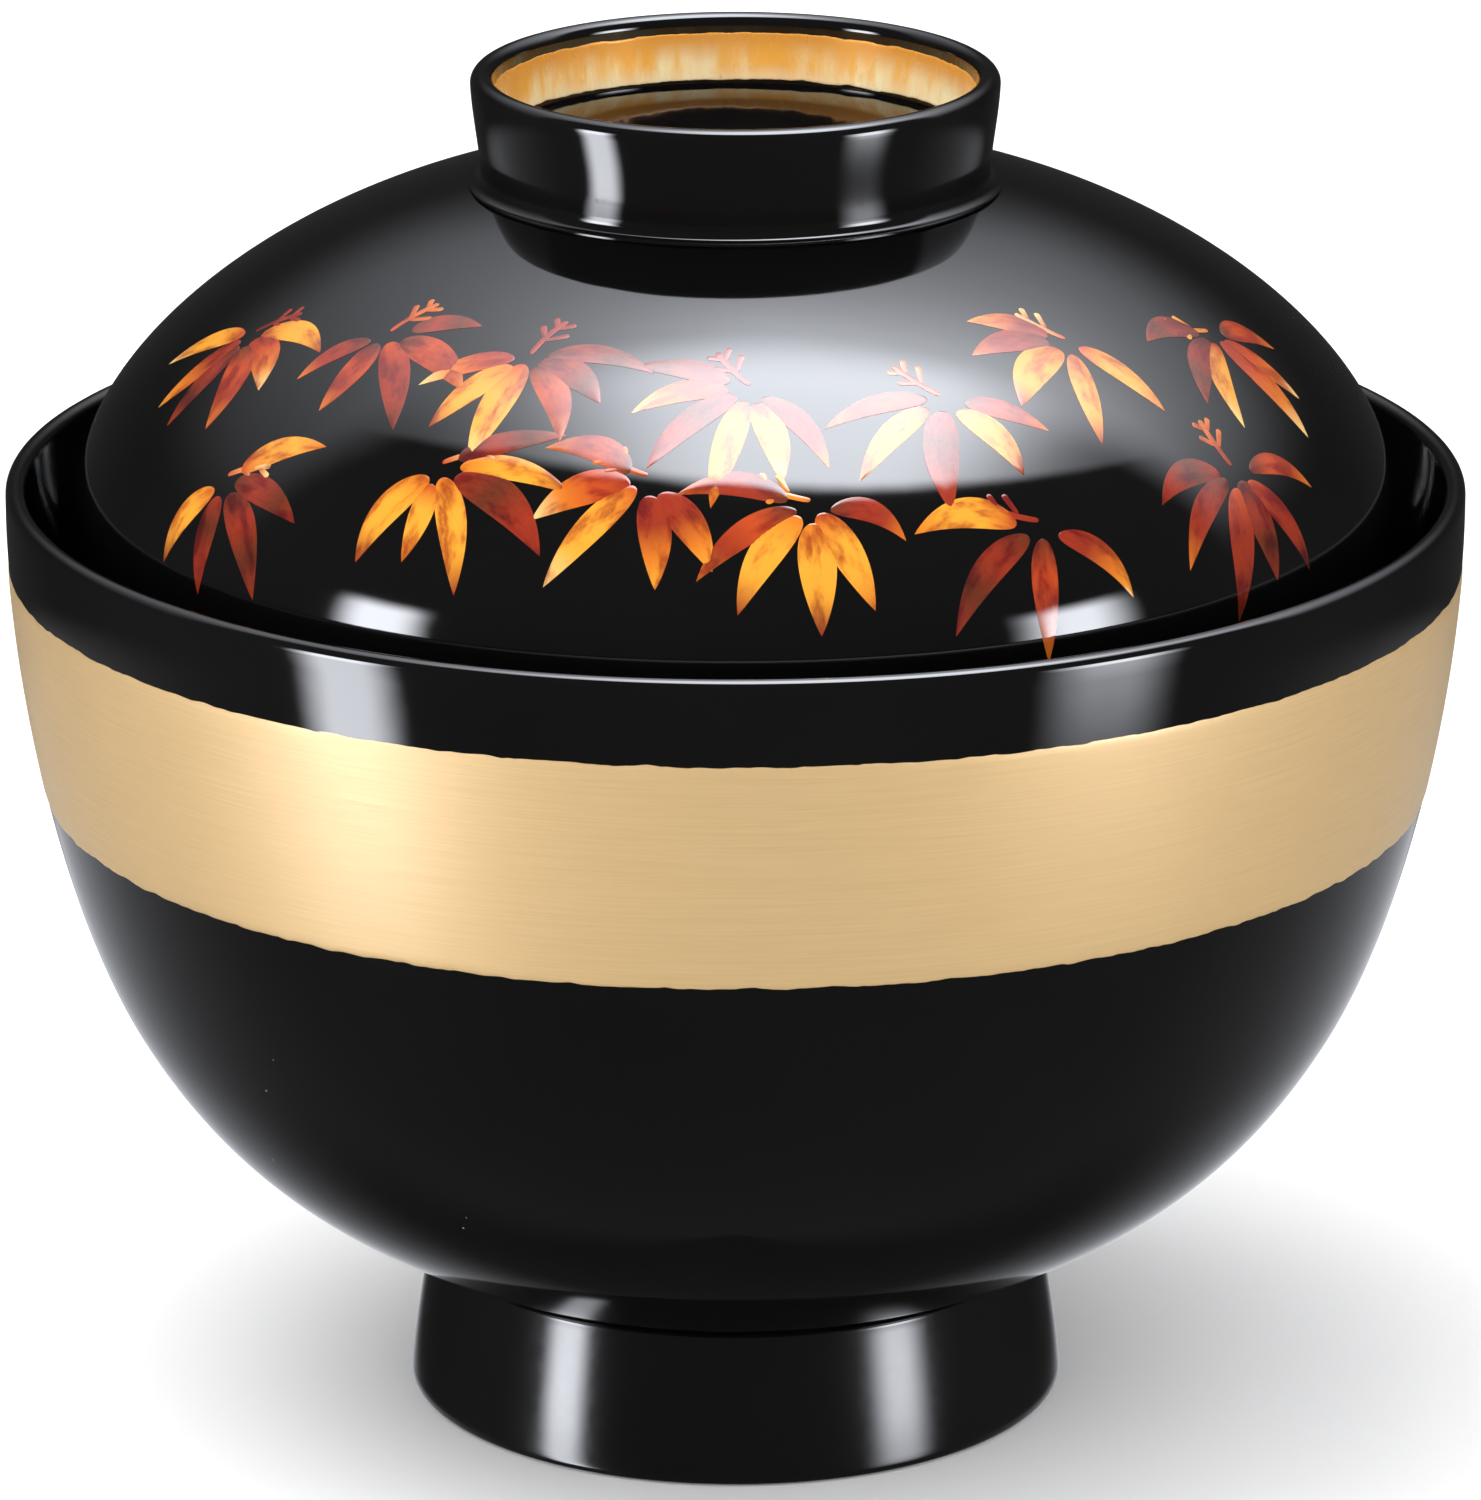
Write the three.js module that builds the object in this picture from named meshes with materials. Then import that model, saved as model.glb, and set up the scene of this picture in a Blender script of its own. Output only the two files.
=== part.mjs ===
// A lidded rice bowl in black lacquer: a deep round bowl on a foot ring with a gold band set into its
// wall, and a domed lid whose edge rests inside the bowl, with a gilded ring-shaped knob on top.
// Millimetres, +Z up. The origin is on the table at the centre of the foot.
import * as THREE from "three";

// Facets round each turned piece.
const SEGMENTS = 48;

// Clearance between neighbouring pieces, and the depth of the grooves that hold the two gold rings.
const GAP = 0.3;
const GOLD_THICKNESS = 0.3;
const GROOVE_DEPTH = GOLD_THICKNESS + GAP;

// Bowl: the wall is widest just under the lip, and its two outer curves meet smoothly at the belly.
const RIM_RADIUS = 60;
const BOWL_HEIGHT = 79;
const LIP_THICKNESS = 1.7;
const WIDEST_HEIGHT = 77;
const BELLY_RADIUS = 50.4;
const BELLY_HEIGHT = 33.6;
const BELLY_SLOPE = THREE.MathUtils.degToRad(60.3);
const WELL_HEIGHT = 18.6;

// Gold band: its lower and upper edges on the outer wall.
const BAND_LOW = 53.4;
const BAND_HIGH = 72;

// Foot ring: it tapers upwards, and a tenon under the bowl sits inside it.
const FOOT_RADIUS = 27.4;
const FOOT_TOP_RADIUS = 25.8;
const FOOT_HEIGHT = 13.05;
const FOOT_BORE = 21.5;
const FOOT_RECESS = 11.5;
const FOOT_WALL = 1.9;
const FOOT_EDGE = 0.7;
const FOOT_TOP_EDGE = 0.6;
const FOOT_BEVEL = 0.8;

// Lid, measured up from its own lower edge, which stands LID_SEAT above the table.
const LID_SEAT = 57.6;
const LID_RADIUS = 54.2;
const LID_EDGE_RADIUS = 53;
const LID_EDGE_THICKNESS = 2.6;
const LID_WALL = 3;
const LID_WIDEST = 19.8;
const SHOULDER_RADIUS = 19.5;
const SHOULDER_HEIGHT = 46.2;
const CROWN_HEIGHT = 46.5;
const CROWN_THICKNESS = 2.5;

// Knob: a shallow dish on the dome, as wide at its lip as at its flange, with the gilding inside.
const KNOB_RADIUS = 21.6;
const KNOB_TOP = 55.2;
const KNOB_LIP_THICKNESS = 1.9;
const FLANGE_RADIUS = 21.8;
const KNOB_COVE = 1;
const FLANGE_EDGE = 0.2;
const KNOB_FLOOR_RADIUS = 19.3;
const KNOB_FLOOR_EDGE = 49.3;
const KNOB_DISH_RADIUS = 15;
const KNOB_DISH_CENTRE = 47.6;
const GILDING_LOW = 49.7;
const GILDING_HIGH = 53.7;

// A point of an outline: its distance from the axis, and its height.
function point(radius, height) {
  return new THREE.Vector2(radius, height);
}

// A cubic curve between two outline points, with its two handles.
function cubic(start, startHandle, endHandle, end) {
  return new THREE.CubicBezierCurve(start, startHandle, endHandle, end);
}

// Points of a rounded edge: an arc about (radius, height) that starts and ends at the given angles.
function rounded(radius, height, size, startDegrees, endDegrees, steps = 4) {
  const start = THREE.MathUtils.degToRad(startDegrees);
  const end = THREE.MathUtils.degToRad(endDegrees);
  return new THREE.EllipseCurve(radius, height, size, size, start, end, end < start).getPoints(steps);
}

// The point of a curve where its radius or its height, which only rises or only falls, has a value.
function pointWhere(curve, key, value) {
  const rises = curve.getPoint(1)[key] > curve.getPoint(0)[key];
  let low = 0;
  let high = 1;
  for (let i = 0; i < 40; i++) {
    const middle = (low + high) / 2;
    const isBefore = curve.getPoint(middle)[key] < value === rises;
    if (isBefore) low = middle;
    else high = middle;
  }
  return curve.getPoint(low);
}

// Points up a curve between two heights, moved towards the axis by inset.
function stretch(curve, lowHeight, highHeight, inset, steps) {
  const points = [];
  for (let i = 0; i <= steps; i++) {
    const height = THREE.MathUtils.lerp(lowHeight, highHeight, i / steps);
    points.push(point(pointWhere(curve, "y", height).x - inset, height));
  }
  return points;
}

// A named piece turned about the axis. The outline runs anticlockwise, outside first.
function turned(name, outline, material) {
  const geometry = new THREE.LatheGeometry(outline, SEGMENTS);
  geometry.rotateX(Math.PI / 2);
  const mesh = new THREE.Mesh(geometry, material);
  mesh.name = name;
  return mesh;
}

// The same for a ring, whose outline doesn't reach the axis and so closes on itself.
function turnedRing(name, outline, material) {
  return turned(name, [...outline, outline[0].clone()], material);
}

const blackLacquer = new THREE.MeshStandardMaterial({ color: 0x0c0a0a, roughness: 0.12, metalness: 0 });
const satinGold = new THREE.MeshStandardMaterial({ color: 0xcfac76, roughness: 0.35, metalness: 1 });
const leafGold = new THREE.MeshStandardMaterial({ color: 0xd9a54e, roughness: 0.25, metalness: 1 });

// Curves of the bowl.
const belly = point(BELLY_RADIUS, BELLY_HEIGHT);
const bellyDirection = point(Math.cos(BELLY_SLOPE), Math.sin(BELLY_SLOPE));
const upperWall = cubic(
  belly,
  belly.clone().addScaledVector(bellyDirection, 11.7),
  point(RIM_RADIUS, WIDEST_HEIGHT - 14),
  point(RIM_RADIUS, WIDEST_HEIGHT),
);
const lowerWall = cubic(
  point(FOOT_TOP_RADIUS + 0.5, FOOT_HEIGHT),
  point(37.7, 18),
  belly.clone().addScaledVector(bellyDirection, -11.3),
  belly,
);
const lipCentre = point(RIM_RADIUS - LIP_THICKNESS / 2, BOWL_HEIGHT - LIP_THICKNESS / 2);
const innerWall = cubic(
  point(RIM_RADIUS - LIP_THICKNESS, lipCentre.y),
  point(47.5, 36),
  point(49, WELL_HEIGHT),
  point(0, WELL_HEIGHT),
);

function bowlShell() {
  return turned("bowl_shell", [
    point(0, FOOT_RECESS + 0.4),
    point(FOOT_BORE - 3, FOOT_RECESS),
    point(FOOT_BORE - GAP, FOOT_RECESS),
    point(FOOT_BORE - GAP, FOOT_HEIGHT),
    ...lowerWall.getPoints(8),
    ...stretch(upperWall, BELLY_HEIGHT, BAND_LOW - GAP, 0, 5).slice(1),
    ...stretch(upperWall, BAND_LOW - GAP, BAND_HIGH + GAP, GROOVE_DEPTH, 5),
    ...stretch(upperWall, BAND_HIGH + GAP, WIDEST_HEIGHT, 0, 1),
    ...rounded(lipCentre.x, lipCentre.y, LIP_THICKNESS / 2, 0, 180, 6),
    ...innerWall.getPoints(14).slice(1),
  ], blackLacquer);
}

function goldBand() {
  return turnedRing("gold_band", [
    ...stretch(upperWall, BAND_LOW, BAND_HIGH, 0, 5),
    ...stretch(upperWall, BAND_LOW, BAND_HIGH, GOLD_THICKNESS, 5).reverse(),
  ], satinGold);
}

function footRing() {
  const top = FOOT_HEIGHT - GAP;
  const inside = FOOT_BORE + FOOT_WALL;
  return turnedRing("foot_ring", [
    point(inside + FOOT_BEVEL, 0),
    ...rounded(FOOT_RADIUS - FOOT_EDGE, FOOT_EDGE, FOOT_EDGE, -90, 0),
    ...cubic(
      point(FOOT_RADIUS, 0.9),
      point(FOOT_RADIUS - 0.3, 4),
      point(FOOT_TOP_RADIUS + 0.6, 8),
      point(FOOT_TOP_RADIUS, top - FOOT_TOP_EDGE),
    ).getPoints(4),
    ...rounded(FOOT_TOP_RADIUS - FOOT_TOP_EDGE, top - FOOT_TOP_EDGE, FOOT_TOP_EDGE, 0, 90).slice(1),
    point(FOOT_BORE, top),
    point(inside, FOOT_BEVEL),
  ], blackLacquer);
}

// Curves of the lid, in its own frame.
const lidSkirt = cubic(
  point(LID_EDGE_RADIUS, LID_EDGE_THICKNESS / 2),
  point(LID_EDGE_RADIUS + 0.6, 8),
  point(LID_RADIUS, LID_WIDEST - 6.5),
  point(LID_RADIUS, LID_WIDEST),
);
const domeShoulder = point(SHOULDER_RADIUS, SHOULDER_HEIGHT);
const dome = cubic(
  point(LID_RADIUS, LID_WIDEST),
  point(LID_RADIUS, LID_WIDEST + 10.8),
  point(37.4, SHOULDER_HEIGHT - 3),
  domeShoulder,
);
const crown = cubic(
  domeShoulder,
  point(13, CROWN_HEIGHT),
  point(6.5, CROWN_HEIGHT),
  point(0, CROWN_HEIGHT),
);
const domeUnderside = cubic(
  point(0, CROWN_HEIGHT - CROWN_THICKNESS),
  point(27.5, CROWN_HEIGHT - CROWN_THICKNESS),
  point(LID_RADIUS - LID_WALL, LID_WIDEST + 15.5),
  point(LID_RADIUS - LID_WALL, LID_WIDEST - 0.5),
);

function lidDome() {
  const edge = LID_EDGE_THICKNESS / 2;
  return turned("lid_dome", [
    ...domeUnderside.getPoints(12),
    ...rounded(LID_EDGE_RADIUS - edge, edge, edge, -180, 0, 6),
    ...lidSkirt.getPoints(4).slice(1),
    ...dome.getPoints(10).slice(1),
    ...crown.getPoints(4).slice(1),
  ], blackLacquer);
}

// Curves of the knob, in the lid's frame. A small cove joins its neck to the flange on the dome.
const flangeTop = pointWhere(dome, "x", FLANGE_RADIUS).y + GAP + FLANGE_EDGE;
const neckHeight = flangeTop + KNOB_COVE;
const knobLip = point(KNOB_RADIUS - KNOB_LIP_THICKNESS / 2, KNOB_TOP - KNOB_LIP_THICKNESS / 2);
const knobWall = cubic(
  point(FLANGE_RADIUS - KNOB_COVE, neckHeight),
  point(KNOB_RADIUS - 0.6, neckHeight + 2.6),
  point(KNOB_RADIUS - 0.1, knobLip.y - 2.4),
  point(KNOB_RADIUS, knobLip.y),
);
const knobBore = cubic(
  point(KNOB_FLOOR_RADIUS, KNOB_FLOOR_EDGE + 0.2),
  point(KNOB_FLOOR_RADIUS + 0.1, KNOB_FLOOR_EDGE + 1.5),
  point(KNOB_RADIUS - KNOB_LIP_THICKNESS - 0.1, knobLip.y - 1.5),
  point(KNOB_RADIUS - KNOB_LIP_THICKNESS, knobLip.y),
);

// The floor of the knob is a shallow dish inside a narrow level ring.
const dishEdge = point(KNOB_DISH_RADIUS, KNOB_FLOOR_EDGE);
const dishCentre = point(0, KNOB_DISH_CENTRE);
const dishDepth = KNOB_FLOOR_EDGE - KNOB_DISH_CENTRE;
const knobDish = cubic(
  dishEdge,
  point((KNOB_DISH_RADIUS * 2) / 3, KNOB_FLOOR_EDGE - (dishDepth * 2) / 3),
  point(KNOB_DISH_RADIUS / 3, KNOB_DISH_CENTRE),
  dishCentre,
);

function lidKnob() {
  const lift = point(0, GAP);
  const flange = pointWhere(dome, "x", FLANGE_RADIUS);
  const seat = [...crown.getPoints(4).reverse(), flange].map((p) => p.clone().add(lift));
  return turned("lid_knob", [
    ...seat,
    ...rounded(FLANGE_RADIUS, neckHeight, KNOB_COVE, -90, -180, 4),
    ...knobWall.getPoints(4).slice(1),
    ...rounded(knobLip.x, knobLip.y, KNOB_LIP_THICKNESS / 2, 0, 180, 6).slice(1),
    ...stretch(knobBore, GILDING_LOW - GAP, GILDING_HIGH + GAP, -GROOVE_DEPTH, 3).reverse(),
    point(KNOB_FLOOR_RADIUS, KNOB_FLOOR_EDGE),
    ...knobDish.getPoints(5),
  ], blackLacquer);
}

function knobGilding() {
  return turnedRing("knob_gilding", [
    ...stretch(knobBore, GILDING_LOW, GILDING_HIGH, -GOLD_THICKNESS, 3),
    ...stretch(knobBore, GILDING_LOW, GILDING_HIGH, 0, 3).reverse(),
  ], leafGold);
}

const bowl = new THREE.Group();
bowl.add(bowlShell(), goldBand(), footRing());

const lid = new THREE.Group();
lid.position.z = LID_SEAT;
lid.add(lidDome(), lidKnob(), knobGilding());

const group = new THREE.Group();
group.add(bowl, lid);

export default group;
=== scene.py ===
"""Looks of a lidded rice bowl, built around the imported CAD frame: black lacquer turned on a lathe, a satin
gold band, a gilded ring knob and sprays of red, orange and gold leaves on the lid.
The object's own sizes are in millimetres until MM scales them; the camera and the lights are in metres."""

import math

import bpy
import numpy as np
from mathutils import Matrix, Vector, noise


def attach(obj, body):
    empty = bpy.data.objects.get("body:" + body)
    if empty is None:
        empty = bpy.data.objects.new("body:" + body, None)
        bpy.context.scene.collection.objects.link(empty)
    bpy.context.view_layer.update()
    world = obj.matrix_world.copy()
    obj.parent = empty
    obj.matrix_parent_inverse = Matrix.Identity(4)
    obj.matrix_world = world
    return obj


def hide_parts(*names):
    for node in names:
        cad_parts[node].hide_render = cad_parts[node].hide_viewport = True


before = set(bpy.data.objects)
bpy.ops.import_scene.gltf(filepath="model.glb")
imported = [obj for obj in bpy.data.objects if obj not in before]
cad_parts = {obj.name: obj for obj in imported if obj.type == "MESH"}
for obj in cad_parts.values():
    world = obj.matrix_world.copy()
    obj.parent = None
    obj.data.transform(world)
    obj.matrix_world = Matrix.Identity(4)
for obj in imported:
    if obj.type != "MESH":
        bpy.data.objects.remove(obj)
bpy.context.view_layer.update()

# ---------------------------------------------------------------- dimensions of the object, in millimetres
MM = 0.001
SEGMENTS = 240
FILM_SEGMENTS = 720

# Bowl: two curves that meet smoothly at the belly.
RIM_RADIUS = 60
WIDEST_HEIGHT = 77
LIP_HEIGHT = 78.15
LIP_RADIUS = 0.85
BELLY = np.array([50.4, 33.6])
BELLY_SLOPE = math.radians(60.3)
BELLY_BELOW = 11.3
BELLY_ABOVE = 11.7
WELL_HEIGHT = 18.6
BAND_LOW = 53.3
BAND_HIGH = 72.1
BAND_THICKNESS = 0.07

# Foot ring: it tapers upwards, and a tenon under the bowl sits inside it.
FOOT_RADIUS = 27.4
FOOT_TOP_RADIUS = 25.8
FOOT_HEIGHT = 13.05
FOOT_BORE = 21.5
FOOT_RECESS = 11.5
FOOT_WALL = 1.9
FOOT_BEVEL = 0.8
FOOT_EDGE = 0.7
FOOT_TOP_EDGE = 0.6
GAP = 0.3

# Lid, measured up from its own lower edge, which stands LID_SEAT above the table.
LID_SEAT = 57.6
LID_EDGE = 1.3
LID_EDGE_RADIUS = 53
LID_RADIUS = 54.2
LID_WALL = 3
LID_WIDEST = 19.8
SHOULDER = (19.5, 46.2)
CROWN_HEIGHT = 46.5
CROWN_THICKNESS = 2.5

# Knob: a shallow dish on the dome, with the gilding inside its ring; heights are above the table. The
# gilding's pale foot fades out, and its deep upper part fades in, between the two heights given for each.
KNOB_RADIUS = 21.6
KNOB_TOP = 111.85
KNOB_LIP = 0.95
KNOB_LIFT = 0.02
FLANGE_RADIUS = 21.8
FLANGE_THICKNESS = 0.15
KNOB_COVE = 1.0
KNOB_FLOOR = 106.9
KNOB_FLOOR_RADIUS = 19.3
DISH_RADIUS = 15
DISH_DEPTH = 1.7
GILDING_LOW = 107.35
GILDING_HIGH = 111.25
GILDING_THICKNESS = 0.05
GILDING_PALE = (108.0, 109.8)
GILDING_DEEP = (109.4, 112.2)
FILM_SUNK = 0.3

# ---------------------------------------------------------------- camera, at the photograph's angle
CAMERA_PLACE = (0, -0.770, 0.29584)
CAMERA_TILT = 0.303364
CAMERA_PAN = 0.000536
LENS = 233.05

camera = bpy.data.objects.new("camera", bpy.data.cameras.new("camera"))
bpy.context.scene.collection.objects.link(camera)
camera.location = CAMERA_PLACE
camera.rotation_euler = (math.pi / 2 - CAMERA_TILT, 0, -CAMERA_PAN)
camera.data.lens = LENS
camera.data.clip_start = 0.01
camera.data.clip_end = 50
bpy.context.scene.camera = camera
bpy.context.scene.view_settings.view_transform = "Standard"


# ---------------------------------------------------------------- outlines, as (radius, height) points
def cubic(a, b, c, d, steps=24):
    """Points along a cubic curve from a to d."""
    t = np.linspace(0, 1, steps + 1)[:, None]
    a, b, c, d = (np.array(p, float) for p in (a, b, c, d))
    return (1 - t) ** 3 * a + 3 * (1 - t) ** 2 * t * b + 3 * (1 - t) * t * t * c + t**3 * d


def arc(centre, radius, start, end, steps=10):
    """Points along an arc, with its angles in degrees."""
    angles = np.radians(np.linspace(start, end, steps + 1))
    return np.array(centre) + radius * np.column_stack([np.cos(angles), np.sin(angles)])


def outline(*stretches):
    """One list of points from several stretches, without the points that repeat."""
    points = np.vstack([np.atleast_2d(np.array(s, float)) for s in stretches])
    keep = [True] + [np.hypot(*(b - a)) > 1e-6 for a, b in zip(points, points[1:])]
    return points[keep]


slope = np.array([math.cos(BELLY_SLOPE), math.sin(BELLY_SLOPE)])
lower_wall = cubic((FOOT_TOP_RADIUS + 0.5, FOOT_HEIGHT), (37.7, 18), BELLY - BELLY_BELOW * slope, BELLY, 40)
upper_wall = cubic(
    BELLY,
    BELLY + BELLY_ABOVE * slope,
    (RIM_RADIUS, WIDEST_HEIGHT - 14),
    (RIM_RADIUS, WIDEST_HEIGHT),
    60,
)
bowl_outline = outline(
    lower_wall,
    upper_wall,
    arc((RIM_RADIUS - LIP_RADIUS, LIP_HEIGHT), LIP_RADIUS, 0, 180, 14),
    cubic((RIM_RADIUS - 2 * LIP_RADIUS, LIP_HEIGHT), (47.5, 36), (49, WELL_HEIGHT), (0, WELL_HEIGHT), 60),
    (0, FOOT_RECESS + 0.4),
    (FOOT_BORE - 3, FOOT_RECESS),
    (FOOT_BORE - GAP, FOOT_RECESS),
    (FOOT_BORE - GAP, FOOT_HEIGHT),
)

foot_top = FOOT_HEIGHT - GAP
foot_inside = FOOT_BORE + FOOT_WALL
foot_wall = cubic(
    (FOOT_RADIUS, 0.9),
    (FOOT_RADIUS - 0.3, 4),
    (FOOT_TOP_RADIUS + 0.6, 8),
    (FOOT_TOP_RADIUS, foot_top - FOOT_TOP_EDGE),
)
foot_outline = outline(
    (foot_inside + FOOT_BEVEL, 0),
    arc((FOOT_RADIUS - FOOT_EDGE, FOOT_EDGE), FOOT_EDGE, -90, 0),
    foot_wall,
    arc((FOOT_TOP_RADIUS - FOOT_TOP_EDGE, foot_top - FOOT_TOP_EDGE), FOOT_TOP_EDGE, 0, 90),
    (FOOT_BORE, foot_top),
    (foot_inside, FOOT_BEVEL),
)

LID_ORIGIN = np.array([0, LID_SEAT])
lid_skirt = cubic(
    (LID_EDGE_RADIUS, LID_EDGE),
    (LID_EDGE_RADIUS + 0.6, 8),
    (LID_RADIUS, LID_WIDEST - 6.5),
    (LID_RADIUS, LID_WIDEST),
)
lid_shoulder = cubic(
    (LID_RADIUS, LID_WIDEST),
    (LID_RADIUS, LID_WIDEST + 10.8),
    (37.4, SHOULDER[1] - 3),
    SHOULDER,
    90,
)
lid_crown = cubic(SHOULDER, (13, CROWN_HEIGHT), (6.5, CROWN_HEIGHT), (0, CROWN_HEIGHT), 16)
lid_underside = cubic(
    (0, CROWN_HEIGHT - CROWN_THICKNESS),
    (27.5, CROWN_HEIGHT - CROWN_THICKNESS),
    (LID_RADIUS - LID_WALL, LID_WIDEST + 15.5),
    (LID_RADIUS - LID_WALL, LID_WIDEST - 0.5),
    50,
)
dome = LID_ORIGIN + outline(lid_skirt, lid_shoulder, lid_crown)
lid_outline = outline(
    dome,
    LID_ORIGIN + lid_underside,
    LID_ORIGIN + arc((LID_EDGE_RADIUS - LID_EDGE, LID_EDGE), LID_EDGE, -180, 0, 16),
)

knob_seat = dome[dome[:, 0] < FLANGE_RADIUS][::-1] + (0, KNOB_LIFT)
flange_top = knob_seat[-1][1] + FLANGE_THICKNESS
knob_neck = flange_top + KNOB_COVE
knob_wall = cubic(
    (FLANGE_RADIUS - KNOB_COVE, knob_neck),
    (KNOB_RADIUS - 0.6, knob_neck + 2.6),
    (KNOB_RADIUS - 0.1, KNOB_TOP - 2.4),
    (KNOB_RADIUS, KNOB_TOP),
)
knob_bore = cubic(
    (KNOB_FLOOR_RADIUS, KNOB_FLOOR + 0.2),
    (KNOB_FLOOR_RADIUS + 0.1, KNOB_FLOOR + 1.5),
    (KNOB_RADIUS - 2 * KNOB_LIP - 0.1, KNOB_TOP - 1.5),
    (KNOB_RADIUS - 2 * KNOB_LIP, KNOB_TOP),
)
knob_dish = cubic(
    (DISH_RADIUS, KNOB_FLOOR),
    (DISH_RADIUS * 2 / 3, KNOB_FLOOR - DISH_DEPTH * 2 / 3),
    (DISH_RADIUS / 3, KNOB_FLOOR - DISH_DEPTH),
    (0, KNOB_FLOOR - DISH_DEPTH),
)
knob_outline = outline(
    knob_seat,
    (FLANGE_RADIUS, knob_seat[-1][1]),
    arc((FLANGE_RADIUS, knob_neck), KNOB_COVE, -90, -180, 12),
    knob_wall,
    arc((KNOB_RADIUS - KNOB_LIP, KNOB_TOP), KNOB_LIP, 0, 180, 14),
    knob_bore[::-1],
    (KNOB_FLOOR_RADIUS, KNOB_FLOOR),
    knob_dish,
)


# ---------------------------------------------------------------- mesh helpers
def piece(name, points, faces, body, slot, material, *nodes):
    """A shaded mesh from millimetre points, riding on a body and standing for CAD nodes."""
    mesh = bpy.data.meshes.new(name)
    mesh.from_pydata((np.asarray(points) * MM).tolist(), [], faces)
    mesh.validate()
    mesh.shade_smooth()
    mesh.set_sharp_from_angle(angle=math.radians(40))
    mesh.materials.append(material)
    made = bpy.data.objects.new(name, mesh)
    bpy.context.scene.collection.objects.link(made)
    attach(made, body)
    if nodes:
        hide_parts(*nodes)
    return made


def turned(points, wobble=None, segments=SEGMENTS):
    """The vertices and faces of a closed outline turned round the axis; wobble(i, angle) shifts a height."""
    on_axis = [p[0] < 1e-6 for p in points]
    vertices = []
    rows = []
    for i, (r, z) in enumerate(points):
        if on_axis[i]:
            rows.append([len(vertices)] * segments)
            vertices.append((0, 0, z))
            continue
        rows.append(list(range(len(vertices), len(vertices) + segments)))
        for j in range(segments):
            angle = 2 * math.pi * j / segments
            lift = wobble(i, angle) if wobble else 0
            vertices.append((r * math.cos(angle), r * math.sin(angle), z + lift))
    faces = []
    for i in range(len(points)):
        n = (i + 1) % len(points)
        if on_axis[i] and on_axis[n]:
            continue
        for j in range(segments):
            k = (j + 1) % segments
            ring = [rows[i][j], rows[i][k], rows[n][k], rows[n][j]]
            faces.append(list(dict.fromkeys(ring)))
    return vertices, faces


def film(wall, low, high, above, below):
    """The closed outline of a thin film on a wall between two heights, thinned out at its edges.
    It stands above the wall's surface by one length and reaches below it by another."""
    turn = np.linspace(0, math.pi, 31)
    heights = low + (high - low) * (1 - np.cos(turn)) / 2
    line = np.column_stack([np.interp(heights, wall[:, 1], wall[:, 0]), heights])
    along = np.gradient(line, axis=0)
    along /= np.hypot(along[:, 0], along[:, 1])[:, None]
    out = np.column_stack([along[:, 1], -along[:, 0]])
    thick = above * np.minimum(1, np.sin(turn) * 3)[:, None]
    return np.vstack([line + out * thick, (line - out * below)[::-1]])


def ragged(low, high, points, size, scale):
    """A wobble that leaves a film's middle alone and makes its two edges uneven, each in its own way."""
    middle = (low + high) / 2

    def wobble(i, angle):
        share = abs(points[i][1] - middle) / (high - low) * 2
        side = 40 if points[i][1] > middle else 0
        where = Vector((math.cos(angle) * scale, math.sin(angle) * scale, side))
        return size * share**3 * noise.fractal(where, 0.8, 2.2, 4)

    return wobble


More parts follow.
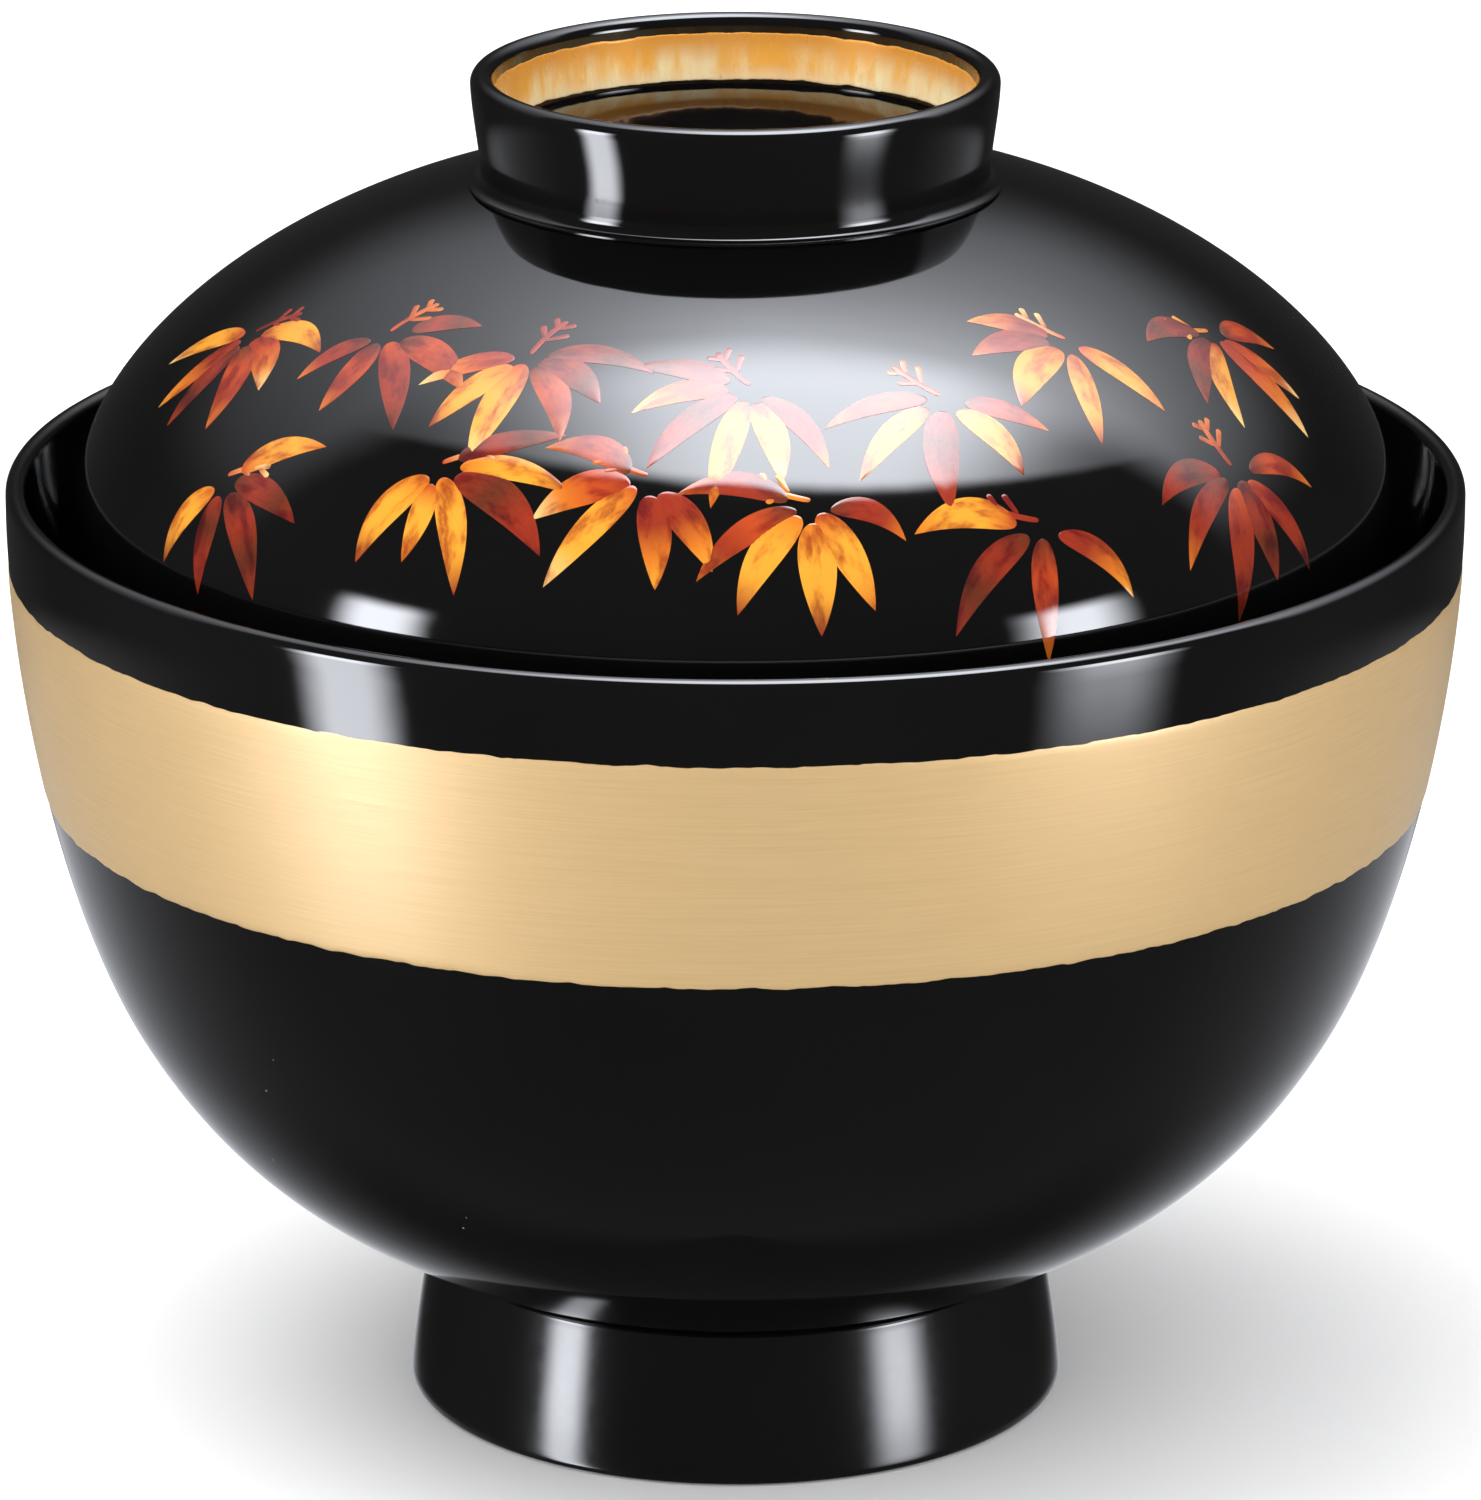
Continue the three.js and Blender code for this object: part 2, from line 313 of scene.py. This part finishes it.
# ---------------------------------------------------------------- materials
class Nodes:
    """Adds nodes to an emptied node tree; a socket given as an input is linked, and a value is set."""

    def __init__(self, tree):
        self.tree = tree
        tree.nodes.clear()

    def add(self, kind, inputs=None, **settings):
        node = self.tree.nodes.new(kind)
        for key, value in settings.items():
            setattr(node, key, value)
        for key, value in (inputs or {}).items():
            if isinstance(value, bpy.types.NodeSocket):
                self.tree.links.new(value, node.inputs[key])
            else:
                node.inputs[key].default_value = value
        return node

    def math(self, operation, *values):
        return self.add("ShaderNodeMath", dict(enumerate(values)), operation=operation).outputs[0]

    def total(self, *values):
        result = values[0]
        for value in values[1:]:
            result = self.math("ADD", result, value)
        return result

    def product(self, *values):
        result = values[0]
        for value in values[1:]:
            result = self.math("MULTIPLY", result, value)
        return result

    def smooth(self, value, start, end, low=0.0, high=1.0):
        """A smooth change from low, where the value is at start, to high, where it is at end."""
        inputs = {"Value": value, "From Min": start, "From Max": end, "To Min": low, "To Max": high}
        return self.add("ShaderNodeMapRange", inputs, interpolation_type="SMOOTHSTEP").outputs[0]

    def window(self, value, low, high, soft):
        """One where the value is between low and high, with soft edges."""
        rise = self.smooth(value, low - soft, low + soft)
        fall = self.smooth(value, high - soft, high + soft, 1.0, 0.0)
        return self.math("MULTIPLY", rise, fall)

    def bell(self, value, centre, width, power):
        """One at the centre, a half at the width from it, and falling off beyond."""
        away = self.math("ABSOLUTE", self.math("DIVIDE", self.math("SUBTRACT", value, centre), width))
        return self.math("DIVIDE", 1.0, self.math("ADD", 1.0, self.math("POWER", away, power)))

    def noise(self, place, scale, detail=3.0, roughness=0.5, stretch=(1, 1, 1), shift=(0, 0, 0)):
        mapped = self.add("ShaderNodeMapping", {"Vector": place, "Scale": stretch, "Location": shift})
        inputs = {"Vector": mapped.outputs[0], "Scale": scale, "Detail": detail, "Roughness": roughness}
        return self.add("ShaderNodeTexNoise", inputs).outputs["Fac"]

    def mix(self, share, a, b, blend="MIX"):
        node = self.add("ShaderNodeMix", data_type="RGBA", blend_type=blend)
        for key, value in ((0, share), (6, a), (7, b)):
            if isinstance(value, bpy.types.NodeSocket):
                self.tree.links.new(value, node.inputs[key])
            elif key == 0:
                node.inputs[key].default_value = value
            else:
                node.inputs[key].default_value = (*value, 1)
        return node.outputs[2]

    def bump(self, height, strength, distance):
        inputs = {"Height": height, "Strength": strength, "Distance": distance}
        return self.add("ShaderNodeBump", inputs).outputs[0]

    def surface(self, inputs):
        shader = self.add("ShaderNodeBsdfPrincipled", inputs)
        out = self.add("ShaderNodeOutputMaterial")
        self.tree.links.new(shader.outputs[0], out.inputs[0])


def new_material(name):
    material = bpy.data.materials.new(name)
    material.use_nodes = True
    nodes = Nodes(material.node_tree)
    return material, nodes, nodes.add("ShaderNodeTexCoord").outputs["Object"]


def lacquer(name, rough_low, rough_high):
    """Black lacquer: near-black, glossy, slightly uneven, with a few dust specks."""
    material, n, place = new_material(name)
    cloud = n.noise(place, 45, 4)
    grain = n.noise(place, 1400, 2)
    colour = n.mix(cloud, (0.0012, 0.0011, 0.0012), (0.0034, 0.0030, 0.0030))
    specks = n.add("ShaderNodeTexVoronoi", {"Vector": place, "Scale": 190.0})
    speck = n.smooth(specks.outputs["Distance"], 0.012, 0.022, 1.0, 0.0)
    chance = n.add("ShaderNodeSeparateColor", {0: specks.outputs["Color"]}).outputs[0]
    speck = n.math("MULTIPLY", speck, n.math("GREATER_THAN", chance, 0.86))
    colour = n.mix(speck, colour, (0.30, 0.29, 0.28))
    uneven = n.math("ADD", cloud, n.math("MULTIPLY", grain, 0.4))
    roughness = n.smooth(uneven, 0.35, 1.0, rough_low, rough_high)
    waviness = n.bump(n.noise(place, 120, 2), 0.05, 0.0004)
    n.surface({"Base Color": colour, "Roughness": roughness, "IOR": 1.52, "Normal": waviness})
    return material


def satin_gold():
    """Satin gold film with fine horizontal hairlines and soft tarnished patches."""
    material, n, place = new_material("satin_gold")
    hairs = n.noise(place, 110, 5, 0.55, (1, 1, 60))
    threads = n.noise(place, 320, 3, 0.6, (0.5, 0.5, 14), (3, 1, 2))
    patches = n.noise(place, 60, 4, 0.6, (1, 1, 1.6), (5, 2, 7))
    colour = n.mix(n.smooth(hairs, 0.25, 0.75), (0.53, 0.355, 0.155), (0.575, 0.39, 0.18))
    colour = n.mix(n.smooth(patches, 0.5, 0.8, 0.0, 0.3), colour, (0.485, 0.315, 0.135))
    roughness = n.smooth(threads, 0.25, 0.75, 0.42, 0.52)
    relief = n.math("ADD", n.math("MULTIPLY", hairs, 0.5), n.math("MULTIPLY", threads, 0.5))
    n.surface(
        {
            "Base Color": colour,
            "Metallic": 0.3,
            "Roughness": roughness,
            "Coat Weight": 0.7,
            "Coat Roughness": 0.36,
            "Normal": n.bump(relief, 0.09, 0.0002),
        }
    )
    return material


def knob_gold():
    """Gold leaf on the knob: upright streaks, pale low down and deep orange above, with worn spots."""
    material, n, place = new_material("knob_gold")
    streaks = n.noise(place, 190, 5, 0.62, (1, 1, 0.18))
    blots = n.noise(place, 330, 3, 0.6, (1, 1, 0.4), (4, 4, 1))
    worn = n.noise(place, 620, 3, 0.7, (1, 1, 0.8), (1, 7, 3))
    height = n.add("ShaderNodeSeparateXYZ", {0: place}).outputs[2]
    level = n.math("ADD", height, n.math("MULTIPLY", streaks, 2 * MM))
    deep = n.smooth(level, GILDING_DEEP[0] * MM, GILDING_DEEP[1] * MM)
    pale = n.smooth(level, GILDING_PALE[0] * MM, GILDING_PALE[1] * MM, 0.55, 0.0)
    colour = n.mix(n.smooth(streaks, 0.4, 0.6), (0.95, 0.46, 0.07), (1.0, 0.88, 0.52))
    colour = n.mix(n.smooth(blots, 0.4, 0.85, 0.0, 0.6), colour, (0.82, 0.36, 0.06))
    colour = n.mix(deep, colour, (0.72, 0.30, 0.04))
    colour = n.mix(pale, colour, (1.0, 0.88, 0.60))
    colour = n.mix(n.smooth(worn, 0.66, 0.82, 0.0, 0.5), colour, (0.05, 0.03, 0.02))
    n.surface(
        {
            "Base Color": colour,
            "Metallic": 0.1,
            "Roughness": n.smooth(blots, 0.3, 0.7, 0.2, 0.34),
            "Normal": n.bump(streaks, 0.06, 0.0003),
        }
    )
    return material


def painted_leaf():
    """Leaf decoration: each leaf's own tint, mottled along the leaf, under a clear gloss coat."""
    material, n, _ = new_material("painted_leaf")
    tint = n.add("ShaderNodeAttribute", attribute_name="tint").outputs["Color"]
    local = n.add("ShaderNodeAttribute", attribute_name="grain").outputs["Vector"]
    blotches = n.noise(local, 0.5, 3, 0.55, (0.6, 1.4, 1))
    flakes = n.noise(local, 2.2, 4, 0.65, (0.6, 1.5, 1), (7, 3, 1))
    dark = n.mix(1.0, tint, (0.50, 0.26, 0.24), "MULTIPLY")
    light = n.mix(0.04, tint, (0.80, 0.38, 0.05))
    colour = n.mix(n.smooth(blotches, 0.34, 0.56), dark, light)
    colour = n.mix(n.smooth(flakes, 0.4, 0.72, 0.0, 0.5), colour, tint)
    n.surface(
        {
            "Base Color": colour,
            "Roughness": n.smooth(flakes, 0.3, 0.7, 0.4, 0.6),
            "Specular IOR Level": 0.1,
            "Coat Weight": 1.0,
            "Coat Roughness": 0.05,
            "Normal": n.bump(flakes, 0.08, 0.0002),
        }
    )
    return material


gloss_lacquer = lacquer("gloss_lacquer", 0.03, 0.07)
foot_lacquer = lacquer("foot_lacquer", 0.10, 0.17)
band_material = satin_gold()
knob_material = knob_gold()
leaf_material = painted_leaf()

# ---------------------------------------------------------------- turned pieces
piece("bowl_body", *turned(bowl_outline), "bowl", "black_lacquer", gloss_lacquer, "bowl_shell")
piece("bowl_foot", *turned(foot_outline), "bowl", "black_lacquer", foot_lacquer, "foot_ring")
piece("lid_body", *turned(lid_outline), "lid", "black_lacquer", gloss_lacquer, "lid_dome")
piece("knob_body", *turned(knob_outline), "lid", "black_lacquer", gloss_lacquer, "lid_knob")

band_film = film(upper_wall, BAND_LOW, BAND_HIGH, BAND_THICKNESS, FILM_SUNK)
band_wobble = ragged(BAND_LOW, BAND_HIGH, band_film, 0.16, 22)
band_mesh = turned(band_film, band_wobble, FILM_SEGMENTS)
piece("band_film", *band_mesh, "bowl", "satin_gold", band_material, "gold_band")

gilding_film = film(knob_bore, GILDING_LOW, GILDING_HIGH, -GILDING_THICKNESS, -FILM_SUNK)[::-1]
gilding_wobble = ragged(GILDING_LOW, GILDING_HIGH, gilding_film, 0.12, 9)
gilding_mesh = turned(gilding_film, gilding_wobble, FILM_SEGMENTS)
piece("knob_film", *gilding_mesh, "lid", "leaf_gold", knob_material, "knob_gilding")

# ---------------------------------------------------------------- leaf sprays
# A general bamboo-leaf pattern: each spray fans out from a joint, and the joints stand in two rows, an upper
# and a lower one, round the front of the lid. A heading is an angle on the lid, 0 straight down the dome and
# positive to the right. Lengths are in millimetres. Each letter of a leaf's colours is a stop along it.
PALETTE = {
    "c": (0.70, 0.48, 0.18),
    "y": (0.68, 0.28, 0.02),
    "g": (0.50, 0.12, 0.006),
    "o": (0.38, 0.036, 0.003),
    "r": (0.21, 0.006, 0.002),
    "k": (0.065, 0.002, 0.001),
}
LEAF_COLOURS = ("krrg", "rrgy", "korg", "oyyg", "krkr", "rogc", "orrk", "gyyr", "rkrr", "oyyc")
TWIG_COLOURS = ("gy", "og", "rr", "oc")
UPPER_ROW = {"count": 7, "azimuths": (-68, 66), "polar": 32.5}
LOWER_ROW = {"count": 6, "azimuths": (-52, 50), "polar": 41.5}
LEAVES_IN_SPRAY = (4, 6)
FAN_MIDDLE = 35
FAN_WIDTH = 150
LEAF_START = (1.2, 2.0)
LEAF_LENGTH = (9.5, 13)
LEAF_WIDTH = (2.3, 3.3)
LEAF_BEND = 0.9
LEAF_WIDEST_AT = 0.36
STEM_LENGTH = 4.5
TWIG_WIDTH = 0.55
FORK_SHARES = (0.4, 0.75)
FORK_ANGLE = 45
LEAF_HEIGHT = 0.02
LEAF_LIFT = 0.015
LEAF_SUNK = 0.12
POINTS_ACROSS = 9

# The lid's inner centre is the point on the axis that the leaves are laid out round.
DOME_CENTRE = 34.9
dome_angles = np.degrees(np.arctan2(dome[:, 0], dome[:, 1] - DOME_CENTRE))[::-1]
dome_reach = np.hypot(dome[:, 0], dome[:, 1] - DOME_CENTRE)[::-1]


def direction(azimuth, polar):
    """The unit vector from the lid's inner centre; azimuth 0 is the front, polar angle 0 the top."""
    a, p = math.radians(azimuth), math.radians(polar)
    return np.array([math.sin(p) * math.sin(a), -math.sin(p) * math.cos(a), math.cos(p)])


def reach_of(directions):
    """The distance from the lid's inner centre to its surface along each direction."""
    polar = np.degrees(np.arccos(np.clip(directions[..., 2], -1, 1)))
    return np.interp(polar, dome_angles, dome_reach)


def on_dome(directions, lifts):
    """Points on the lid, lifted off it along each direction."""
    return directions * (reach_of(directions) + lifts)[..., None] + np.array([0, 0, DOME_CENTRE])


def step(place, heading, length):
    """The place that is a length away from another along a heading."""
    azimuth = math.atan2(place[0], -place[1])
    right = np.array([math.cos(azimuth), math.sin(azimuth), 0])
    down = np.cross(right, place)
    way = math.cos(math.radians(heading)) * down + math.sin(math.radians(heading)) * right
    turn = length / float(reach_of(place))
    return math.cos(turn) * place + math.sin(turn) * way


def blade(start, end, width, bend, is_leaf):
    """A thin closed blade on the lid: its points, faces, and each point's share of the length and offset."""
    steps = 26 if is_leaf else 10
    reach = float(reach_of(start))
    share = (1 - np.cos(np.linspace(0, math.pi, steps + 1))) / 2
    line = start + share[:, None] * (end - start)
    line /= np.linalg.norm(line, axis=1)[:, None]
    aside = np.cross(line, end - start)
    aside /= np.linalg.norm(aside, axis=1)[:, None]
    if is_leaf:
        rise = (share / LEAF_WIDEST_AT) ** 0.5
        fall = ((1 - share) / (1 - LEAF_WIDEST_AT)) ** 0.9
        half = rise * fall * width / 2
    else:
        length = np.linalg.norm(end - start) * reach
        near = np.clip(share * length / (width / 2), 0, 1)
        far = np.clip((1 - share) * length / (width / 2), 0, 1)
        ends = np.sqrt(1 - (1 - near) ** 2) * np.sqrt(1 - (1 - far) ** 2)
        half = ends * (0.8 + 0.3 * share) * width / 2
    half = np.maximum(half, 0.02)
    v = np.linspace(-1, 1, POINTS_ACROSS)
    offset = (half[:, None] * v + (bend * 4 * share * (1 - share))[:, None]) / reach
    ways = line[:, None, :] + aside[:, None, :] * offset[..., None]
    ways /= np.linalg.norm(ways, axis=2)[..., None]
    crown = LEAF_HEIGHT * np.minimum(1, half / 0.4)[:, None] * (1 - 0.75 * v**2)
    top = on_dome(ways, LEAF_LIFT + crown).reshape(-1, 3)
    under = on_dome(ways, np.full(crown.shape, -LEAF_SUNK)).reshape(-1, 3)
    rows = steps + 1
    n = rows * POINTS_ACROSS
    faces = []
    for i in range(steps):
        for j in range(POINTS_ACROSS - 1):
            a = i * POINTS_ACROSS + j
            faces.append([a, a + POINTS_ACROSS, a + POINTS_ACROSS + 1, a + 1])
            faces.append([a + n, a + n + 1, a + n + POINTS_ACROSS + 1, a + n + POINTS_ACROSS])
    edge = [i * POINTS_ACROSS for i in range(rows)]
    edge += [(rows - 1) * POINTS_ACROSS + j for j in range(1, POINTS_ACROSS)]
    edge += [i * POINTS_ACROSS + POINTS_ACROSS - 1 for i in range(rows - 2, -1, -1)]
    edge += [j for j in range(POINTS_ACROSS - 2, 0, -1)]
    for a, b in zip(edge, edge[1:] + edge[:1]):
        faces.append([a, a + n, b + n, b])
    along = np.repeat(share, POINTS_ACROSS)
    aside_share = (half[:, None] * v).reshape(-1)
    return np.vstack([top, under]), faces, np.tile(along, 2), np.tile(aside_share, 2)


def spray_blades(joint, lean, random):
    """The leaves and twigs of one spray; lean is 1 where the fan opens to the right and -1 to the left."""
    blades = []
    leaves = random.integers(LEAVES_IN_SPRAY[0], LEAVES_IN_SPRAY[1] + 1)
    middle = FAN_MIDDLE + random.uniform(-25, 20)
    for i in range(leaves):
        spread = i / (leaves - 1) - 0.5
        heading = lean * (middle + FAN_WIDTH * spread) + random.uniform(-7, 7)
        length = random.uniform(*LEAF_LENGTH) * (1 - 0.35 * abs(spread))
        width = random.uniform(*LEAF_WIDTH) * (1 - 0.3 * abs(spread))
        bend = LEAF_BEND * math.sin(math.radians(heading)) + random.uniform(-0.35, 0.35)
        base = step(joint, heading, random.uniform(*LEAF_START))
        colours = LEAF_COLOURS[random.integers(len(LEAF_COLOURS))]
        blades.append((colours, base, step(joint, heading, length), width, bend, True))
    back = 180 - lean * 35 + random.uniform(-40, 40)
    colours = TWIG_COLOURS[random.integers(len(TWIG_COLOURS))]
    blades.append((colours, joint, step(joint, back, STEM_LENGTH), TWIG_WIDTH, 0.2, False))
    for share in FORK_SHARES:
        fork = step(joint, back, STEM_LENGTH * share)
        for side in (-1, 1):
            tip = step(fork, back + side * FORK_ANGLE, STEM_LENGTH * (0.55 - 0.3 * share))
            blades.append((colours, fork, tip, TWIG_WIDTH * 0.9, 0, False))
    return blades


def spray(name, blades, seed):
    """One spray as a single piece, with its tint and its grain kept on each point."""
    points, faces, tints, grains = [], [], [], []
    count = 0
    for i, (colours, start, end, *form) in enumerate(blades):
        made, rings, along, aside = blade(start, end, *form)
        faces += [[k + count for k in ring] for ring in rings]
        count += len(made)
        points.append(made)
        stops = np.array([PALETTE[letter] for letter in colours])
        places = np.linspace(0, 1, len(stops))
        tints.append(np.column_stack([np.interp(along, places, stops[:, c]) for c in range(3)]))
        length = np.linalg.norm(end - start) * float(reach_of(start))
        shift = np.full(len(along), seed * 31.0 + i * 7.3)
        grains.append(np.column_stack([along * length, aside, shift]))
    made = piece(name, np.vstack(points), faces, "lid", "leaf_decoration", leaf_material)
    tint = made.data.attributes.new("tint", "FLOAT_COLOR", "POINT")
    tinted = np.column_stack([np.vstack(tints), np.ones(count)])
    tint.data.foreach_set("color", tinted.astype(np.float32).ravel())
    grain = made.data.attributes.new("grain", "FLOAT_VECTOR", "POINT")
    grain.data.foreach_set("vector", np.vstack(grains).astype(np.float32).ravel())


number = 0
for row in (UPPER_ROW, LOWER_ROW):
    for azimuth in np.linspace(*row["azimuths"], row["count"]):
        number += 1
        random = np.random.default_rng(number)
        joint = direction(azimuth + random.uniform(-3, 3), row["polar"] + random.uniform(-3.5, 2.5))
        lean = 1 if azimuth + random.uniform(-25, 25) < 0 else -1
        spray(f"leaf_spray_{number:02d}", spray_blades(joint, lean, random), number)

# ---------------------------------------------------------------- floor and key light
FLOOR_RADIUS = 6
FLOOR_SIDES = 64
FLOOR_DROP = 0.0001
KEY_PLACE = (-0.34, 0.05, 1.1)
KEY_AIM = (0, 0, 0.05)
KEY_SIZE = 1.0
KEY_POWER = 8

floor_angles = np.linspace(0, 2 * math.pi, FLOOR_SIDES + 1)[:-1]
floor_rim = [(FLOOR_RADIUS * math.cos(a), FLOOR_RADIUS * math.sin(a), 0) for a in floor_angles]
floor_mesh = bpy.data.meshes.new("floor")
floor_mesh.from_pydata(floor_rim, [], [list(range(FLOOR_SIDES))])
floor = bpy.data.objects.new("floor", floor_mesh)
bpy.context.scene.collection.objects.link(floor)
floor.location.z = -FLOOR_DROP
floor.visible_glossy = False
floor_material, floor_nodes, floor_place = new_material("pale_floor")
floor_tone = floor_nodes.mix(floor_nodes.noise(floor_place, 30), (0.94, 0.94, 0.94), (0.96, 0.96, 0.96))
floor_nodes.surface({"Base Color": floor_tone, "Roughness": 0.9})
floor_mesh.materials.append(floor_material)

key = bpy.data.objects.new("key", bpy.data.lights.new("key", "AREA"))
bpy.context.scene.collection.objects.link(key)
key.data.energy = KEY_POWER
key.data.size = KEY_SIZE
key.location = KEY_PLACE
key.rotation_euler = (Vector(KEY_AIM) - Vector(KEY_PLACE)).to_track_quat("-Z", "Y").to_euler()
key.visible_glossy = False
key.visible_camera = False

# ---------------------------------------------------------------- surroundings
# Glossy rays see a studio painted by direction, diffuse rays see a plain light that is stronger from the
# front, and camera rays see white. Azimuths and elevations are in degrees; azimuth 0 is the front, and
# positive is to the right. The panel and its spill are placed on a ceiling one unit up, by how far across
# and how far behind they are.
PANEL_ACROSS = 0.15
PANEL_WIDTH = 0.40
PANEL_FRONT = (-0.25, -0.16)
PANEL_FRONT_CENTRE = 0.12
PANEL_FRONT_CURVE = 0.75
PANEL_BACK = (0.22, 0.52)
PANEL_STRENGTH = 15.5
SPILL_EDGES = (0.1, 0.3)
SPILL_FALL = (2.3, 0.9)
SPILL_STRENGTH = 2.1
LEFT_STRIP = (-69.5, -56)
RIGHT_STRIP = (52, 68)
STRIP_TOP = 14
STRIP_MIDDLE = -6
LEFT_STRIP_FOOT = -36
RIGHT_STRIP_FOOT = -32
LEFT_STRENGTHS = (21.0, 13.5)
RIGHT_STRENGTHS = (19.0, 9.0)
TABLE_STRENGTH = 0.8
ROOM_STRENGTHS = (0.1, 0.035)
AMBIENT_STRENGTHS = (1.9, 0.6)

world = bpy.data.worlds.new("studio")
bpy.context.scene.world = world
world.use_nodes = True
world.cycles.sampling_method = "NONE"
w = Nodes(world.node_tree)
towards = w.add("ShaderNodeSeparateXYZ", {0: w.add("ShaderNodeTexCoord").outputs["Generated"]}).outputs
side, depth, up = towards
azimuth = w.math("DEGREES", w.math("ARCTAN2", side, w.math("MULTIPLY", depth, -1.0)))
turn = w.math("ABSOLUTE", azimuth)
elevation = w.math("DEGREES", w.math("ARCSINE", up))
height = w.math("MAXIMUM", up, 0.02)
across = w.math("DIVIDE", side, height)
behind = w.math("DIVIDE", depth, height)

# The panel over the object, with a curved front edge.
above = w.smooth(up, 0.0, 0.05)
off_centre = w.math("SUBTRACT", across, PANEL_FRONT_CENTRE)
front_edge = w.math("SUBTRACT", behind, w.product(off_centre, off_centre, PANEL_FRONT_CURVE))
panel = w.product(
    above,
    w.bell(across, PANEL_ACROSS, PANEL_WIDTH, 4.0),
    w.smooth(front_edge, *PANEL_FRONT),
    w.smooth(behind, *PANEL_BACK, 1.0, 0.0),
    PANEL_STRENGTH,
)

# The panel's light on the ceiling and the wall behind it, which falls off with the distance from the panel.
leftward = w.math("MINIMUM", w.math("SUBTRACT", across, SPILL_EDGES[0]), 0.0)
rightward = w.math("MAXIMUM", w.math("SUBTRACT", across, SPILL_EDGES[1]), 0.0)
spread = w.total(
    0.05,
    w.product(behind, behind),
    w.product(leftward, leftward, SPILL_FALL[0]),
    w.product(rightward, rightward, SPILL_FALL[1]),
)
spill = w.product(
    above,
    w.smooth(behind, 0.22, 0.55),
    w.smooth(elevation, 10.0, 32.0),
    w.math("DIVIDE", SPILL_STRENGTH, spread),
)

# A strip light at each side of the camera, each with a high part and a dimmer low part.
high_part = w.window(elevation, STRIP_MIDDLE, STRIP_TOP, 3.5)
left_low_part = w.window(elevation, LEFT_STRIP_FOOT, STRIP_MIDDLE, 2)
right_low_part = w.product(
    w.smooth(elevation, RIGHT_STRIP_FOOT, STRIP_MIDDLE),
    w.smooth(elevation, STRIP_MIDDLE - 2, STRIP_MIDDLE + 2, 1.0, 0.0),
)
left_strip = w.product(
    w.window(azimuth, *LEFT_STRIP, 4),
    w.total(w.product(high_part, LEFT_STRENGTHS[0]), w.product(left_low_part, LEFT_STRENGTHS[1])),
)
right_strip = w.product(
    w.window(azimuth, *RIGHT_STRIP, 6),
    w.total(w.product(high_part, RIGHT_STRENGTHS[0]), w.product(right_low_part, RIGHT_STRENGTHS[1])),
)

# The glow of the table behind the object, below the level that upright walls reflect, and a dim room.
table = w.product(
    w.smooth(turn, 80, 190),
    w.smooth(elevation, -58, -16),
    w.smooth(elevation, -20.5, -17.5, 1.0, 0.0),
    TABLE_STRENGTH,
)
room = w.smooth(turn, 95, 140, *ROOM_STRENGTHS)

cool = w.mix(1.0, w.total(panel, spill), (0.95, 0.985, 1.06), "MULTIPLY")
bluish = w.mix(1.0, w.total(left_strip, right_strip, table), (0.96, 0.99, 1.06), "MULTIPLY")
glossy = w.mix(1.0, w.mix(1.0, cool, bluish, "ADD"), room, "ADD")
ambient = w.mix(1.0, w.smooth(depth, -1.0, 1.0, *AMBIENT_STRENGTHS), (1.0, 1.0, 1.01), "MULTIPLY")
rays = w.add("ShaderNodeLightPath").outputs
seen = w.mix(rays["Is Glossy Ray"], ambient, glossy)
seen = w.mix(rays["Is Camera Ray"], seen, (1.0, 1.0, 1.0))
background = w.add("ShaderNodeBackground", {"Color": seen, "Strength": 1.0})
world_out = w.add("ShaderNodeOutputWorld")
w.tree.links.new(background.outputs[0], world_out.inputs[0])
